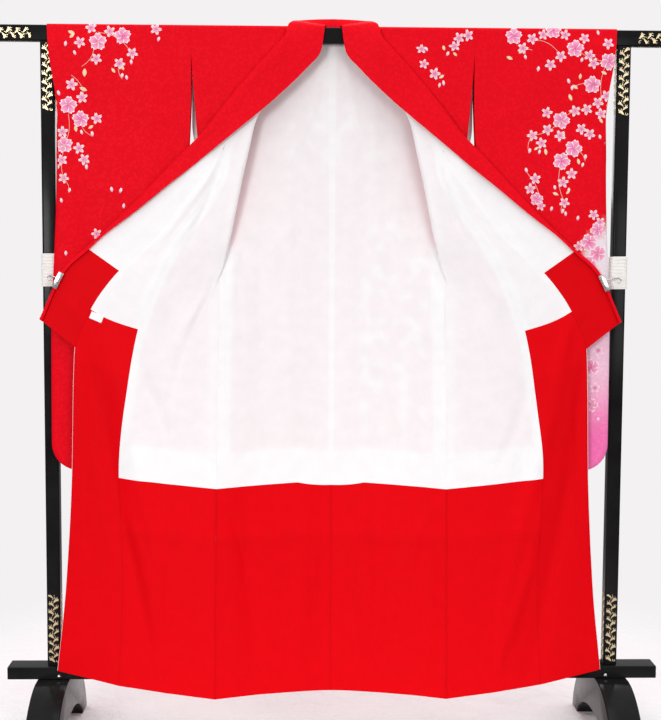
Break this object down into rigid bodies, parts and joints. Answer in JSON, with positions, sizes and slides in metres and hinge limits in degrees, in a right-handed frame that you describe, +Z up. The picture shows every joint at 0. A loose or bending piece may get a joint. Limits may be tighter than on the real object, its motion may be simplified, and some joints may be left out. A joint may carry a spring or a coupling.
{
  "type": "furisode on a kimono stand",
  "caption": "Long-sleeved crimson furisode hung wide open on a black lacquered stand, its white and red lining shown, collar ends clipped to the posts.",
  "frame": {"origin": "on the floor, midway between the feet", "axes": "+Z up, the opened front of the garment faces -Y, the bar runs along X"},
  "size_m": [1.68, 0.456, 1.7456],
  "materials": {
    "crimson": "crimson silk damask with a soft sheen, blossoms on the sleeves",
    "white_lining": "thin white silk lining",
    "hem_red": "bright red plain silk",
    "lacquer": "black lacquered wood with gold ornament",
    "cord": "fine off-white cord",
    "steel": "bright plated steel",
    "label": "plain white woven label"
  },
  "bodies": {
    "root": {"top_bar": "lacquer", "base_rail": "lacquer", "post_left": "lacquer", "post_right": "lacquer", "foot_left": "lacquer", "foot_right": "lacquer", "cord_wrap_left": "cord", "cord_wrap_right": "cord", "rail_stud_left": "steel", "rail_stud_right": "steel", "clip_left": "steel", "clip_right": "steel", "hook_left": "steel", "hook_right": "steel", "back_left": "crimson", "back_right": "crimson", "back_lining_left": "white_lining", "back_lining_right": "white_lining", "back_hem_lining_left": "hem_red", "back_hem_lining_right": "hem_red", "front_left": "crimson", "front_right": "crimson", "front_lining_left": "white_lining", "front_lining_right": "white_lining", "front_turned_lining_left": "white_lining", "front_turned_lining_right": "white_lining", "front_hem_lining_left": "hem_red", "front_hem_lining_right": "hem_red", "okumi_left": "crimson", "okumi_right": "crimson", "okumi_lining_left": "white_lining", "okumi_lining_right": "white_lining", "okumi_hem_lining_left": "hem_red", "okumi_hem_lining_right": "hem_red", "collar_left": "crimson", "collar_right": "crimson", "collar_lining_left": "white_lining", "collar_lining_right": "white_lining", "collar_end_left": "hem_red", "collar_end_right": "hem_red", "sleeve_left": "crimson", "sleeve_right": "crimson", "post_catch": "lacquer", "label": "label"}
  },
  "joints": []
}
